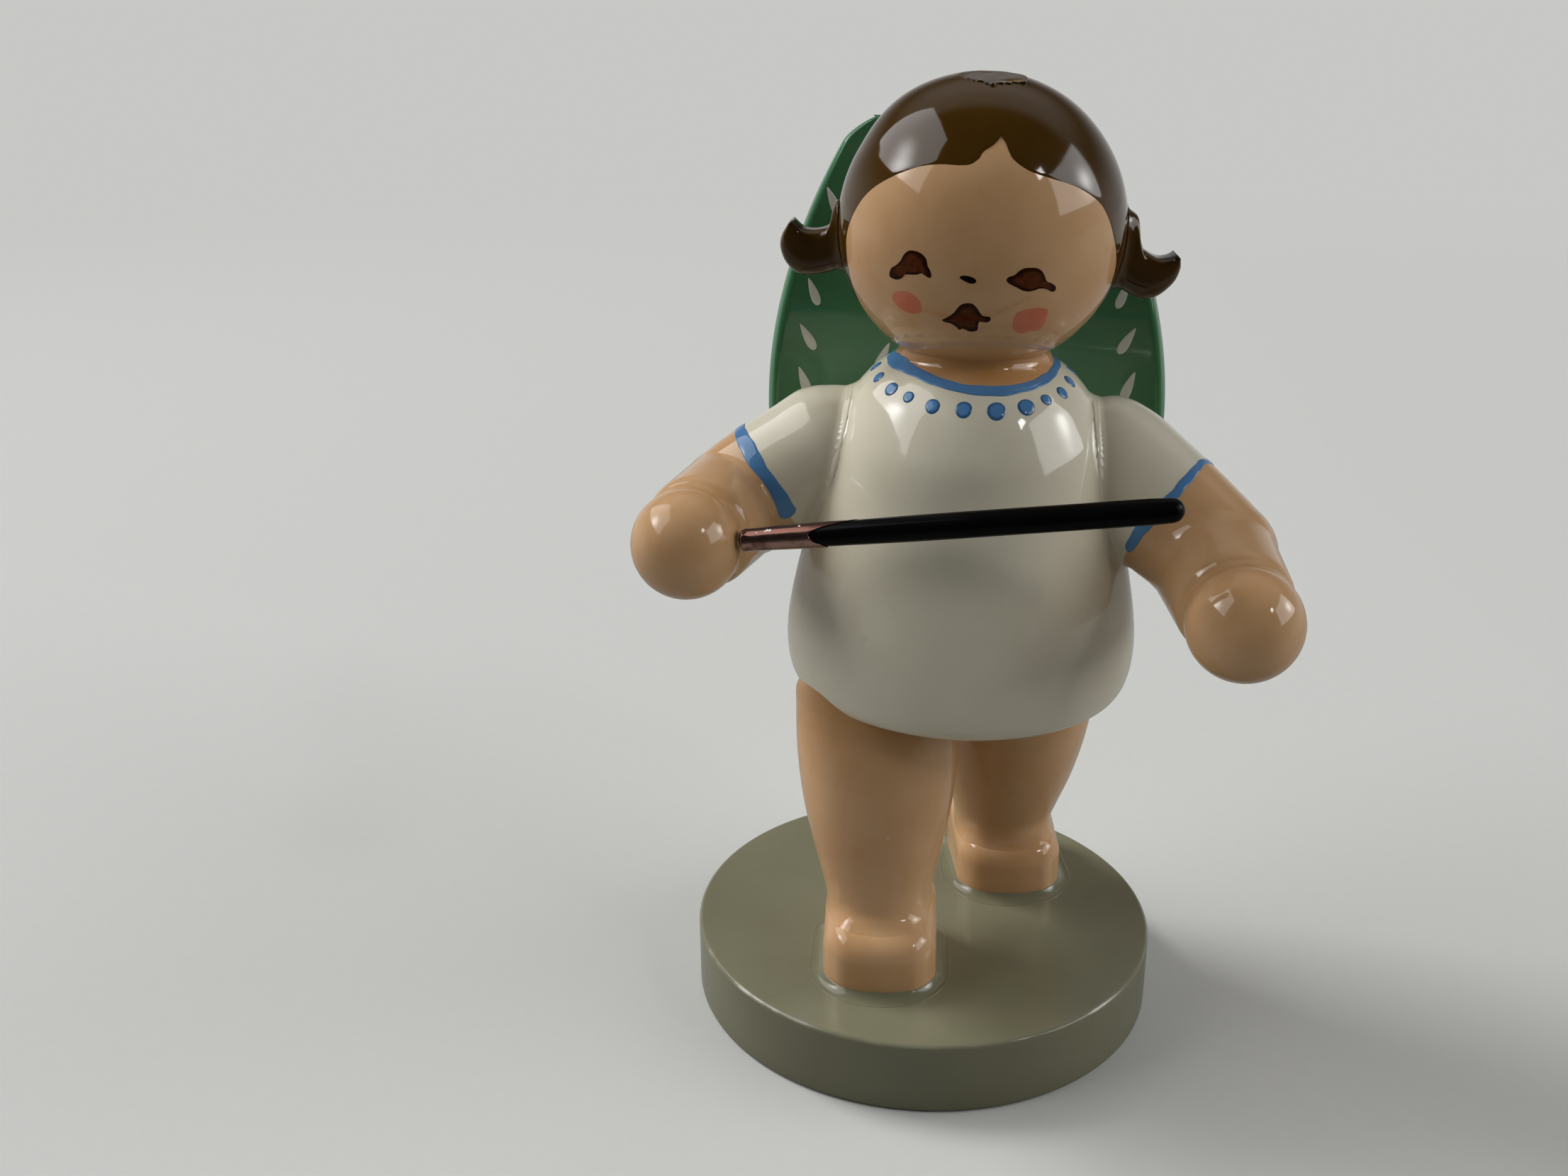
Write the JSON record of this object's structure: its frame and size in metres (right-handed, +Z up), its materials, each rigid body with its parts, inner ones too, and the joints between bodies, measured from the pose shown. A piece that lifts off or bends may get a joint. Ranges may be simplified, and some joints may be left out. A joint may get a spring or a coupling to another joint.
{
  "type": "wooden angel figurine",
  "caption": "Turned and lacquered wooden angel with a ball head, hair curls, a bell-shaped shirt and leaf wings, striding on a round base with a brush in its hand; a shelf ornament.",
  "frame": {"origin": "centre of the base disc's flat underside", "axes": "+Z up along the figure's height, -Y the way the figure faces and strides, -X the figure's own right side"},
  "size_m": [0.0412, 0.033, 0.0642],
  "materials": {
    "base_lacquer": "olive grey gloss lacquer",
    "skin_lacquer": "tan gloss lacquer, with cream sleeves painted on the upper arms",
    "shirt_lacquer": "cream gloss lacquer with blue trim painted at the collar",
    "hair_lacquer": "dark brown gloss lacquer, with a tan painted face on the head",
    "wing_lacquer": "deep green gloss lacquer with white painted strokes",
    "handle_lacquer": "black gloss lacquer",
    "ferrule_metal": "copper-coloured polished metal",
    "bare_wood": "bare pale hardwood"
  },
  "bodies": {
    "root": {"base_disc": "base_lacquer", "right_foot": "skin_lacquer", "left_foot": "skin_lacquer", "right_foot_peg": "bare_wood", "left_foot_peg": "bare_wood", "right_leg": "skin_lacquer", "left_leg": "skin_lacquer", "right_ankle_peg": "bare_wood", "left_ankle_peg": "bare_wood", "right_hip_peg": "bare_wood", "left_hip_peg": "bare_wood", "shirt_body": "shirt_lacquer", "neck_peg": "bare_wood", "head": "hair_lacquer", "right_hair_curl": "hair_lacquer", "left_hair_curl": "hair_lacquer", "right_upper_arm": "skin_lacquer", "left_upper_arm": "skin_lacquer", "right_shoulder_peg": "bare_wood", "left_shoulder_peg": "bare_wood", "right_forearm": "skin_lacquer", "left_forearm": "skin_lacquer", "right_forearm_peg": "bare_wood", "left_forearm_peg": "bare_wood", "right_hand": "skin_lacquer", "left_hand": "skin_lacquer", "right_wing": "wing_lacquer", "left_wing": "wing_lacquer", "right_wing_upper_peg": "bare_wood", "right_wing_lower_peg": "bare_wood", "left_wing_upper_peg": "bare_wood", "left_wing_lower_peg": "bare_wood", "brush_ferrule": "ferrule_metal", "brush_handle": "handle_lacquer", "brush_pin": "bare_wood"}
  },
  "joints": []
}
